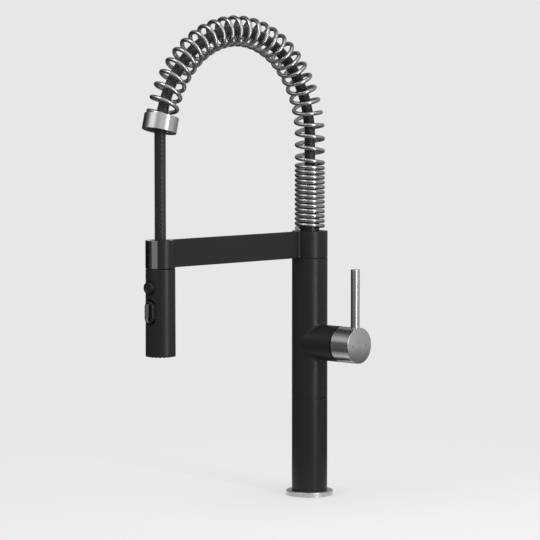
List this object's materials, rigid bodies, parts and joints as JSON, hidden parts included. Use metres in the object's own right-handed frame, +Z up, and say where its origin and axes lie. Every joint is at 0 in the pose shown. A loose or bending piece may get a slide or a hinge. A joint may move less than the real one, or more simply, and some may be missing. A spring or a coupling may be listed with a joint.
{
  "type": "pre rinse faucet",
  "caption": "Single-lever kitchen faucet with a straight column, a side mixer, a spring arch, a docking arm and a pull-down hand spray.",
  "frame": {"origin": "centre of the deck hole, on the worktop's top face, on the column's axis", "axes": "+Z up the column; -Y along the docking arm towards the user; +X out through the mixer handle"},
  "size_m": [0.0972, 0.2694, 0.5971],
  "materials": {
    "matte_black": "matte black powder coat",
    "gloss_black": "glossy black",
    "brushed_steel": "turned and brushed steel",
    "spring_steel": "polished spring wire",
    "black_hose": "black hose",
    "black_rubber": "black seal rubber",
    "black_plastic": "satin black plastic",
    "grey_plastic": "satin light grey plastic",
    "white_plastic": "natural bearing plastic",
    "brass": "plain machined brass",
    "ceramic": null
  },
  "bodies": {
    "column": {"base_flange": "brushed_steel", "deck_gasket": "black_rubber", "mounting_shank": "brass", "clamp_gasket": "black_rubber", "clamp_washer": "brushed_steel", "mounting_nut": "brass", "jack_screw_left": "brushed_steel", "jack_screw_right": "brushed_steel", "base_column": "matte_black", "joining_nipple": "brass", "valve_body": "matte_black", "hot_supply_tail": "brass", "cold_supply_tail": "brass", "swivel_ring_lower": "black_rubber", "swivel_ring_upper": "black_rubber", "arm_nut": "brass", "cartridge_body": "white_plastic", "fixed_disc": "ceramic", "cartridge_nut": "brass", "bonnet_ring": "black_plastic"},
    "mixer": {"stem_carrier": "white_plastic", "stem_pin": "brushed_steel"},
    "disc": {"moving_disc": "ceramic"},
    "handle": {"cartridge_stem": "brass", "handle_cap": "brushed_steel", "handle_lever": "brushed_steel", "handle_grub_screw": "brushed_steel"},
    "spout": {"dock_arm": "matte_black", "swivel_bush": "white_plastic", "dock_liner": "gloss_black", "spring_seat": "black_plastic", "coil_spring": "spring_steel", "arch_hose": "black_hose", "collar_insert": "black_plastic", "spring_collar": "brushed_steel"},
    "hose_end": {"drop_hose": "black_hose", "hose_nut": "brass"},
    "handset": {"docking_spigot": "black_plastic", "check_valve": "black_plastic", "handset_body": "matte_black", "waterway_body": "black_plastic", "button_spring": "spring_steel", "switch_track": "black_plastic", "spray_face": "black_plastic", "nozzle_plate": "black_rubber", "aerator": "black_plastic"},
    "button": {"spray_button": "black_plastic", "diverter_spool": "brass"},
    "switch": {"switch_slider": "black_plastic", "switch_grip": "grey_plastic"}
  },
  "joints": [
    {"name": "spout_swivel", "type": "hinge", "parent": "column", "child": "spout", "pos_m": [0, 0, 0.27], "axis": [0, 0, 1], "continuous": true},
    {"name": "mixer_turn", "type": "hinge", "parent": "column", "child": "mixer", "pos_m": [0.032, 0, 0.165], "axis": [1, 0, 0], "range_deg": [-45, 45]},
    {"name": "handle_tilt", "type": "hinge", "parent": "mixer", "child": "handle", "pos_m": [0.032, 0, 0.165], "axis": [0, 1, 0], "range_deg": [0, 20]},
    {"name": "disc_slide", "type": "slide", "parent": "mixer", "child": "disc", "axis": [0, 0, 1], "range_m": [0, 0.0028]},
    {"name": "spray_pull", "type": "slide", "parent": "spout", "child": "hose_end", "axis": [0, 0, -1], "range_m": [0, 0.15], "stiffness_N_per_m": 60, "springref_m": -0.06, "deforming": ["drop_hose"]},
    {"name": "spray_swivel", "type": "hinge", "parent": "hose_end", "child": "handset", "pos_m": [0, -0.224, 0.272], "axis": [0, 0, 1], "continuous": true},
    {"name": "button_press", "type": "slide", "parent": "handset", "child": "button", "axis": [0, 1, 0], "range_m": [0, 0.002], "stiffness_N_per_m": 500, "springref_m": -0.002},
    {"name": "switch_slide", "type": "slide", "parent": "handset", "child": "switch", "axis": [0, 0, 1], "range_m": [-0.0018, 0.0018]}
  ],
  "couplings": [
    {"joint": "disc_slide", "follows": "handle_tilt", "m_per_rad": 0.00785}
  ]
}
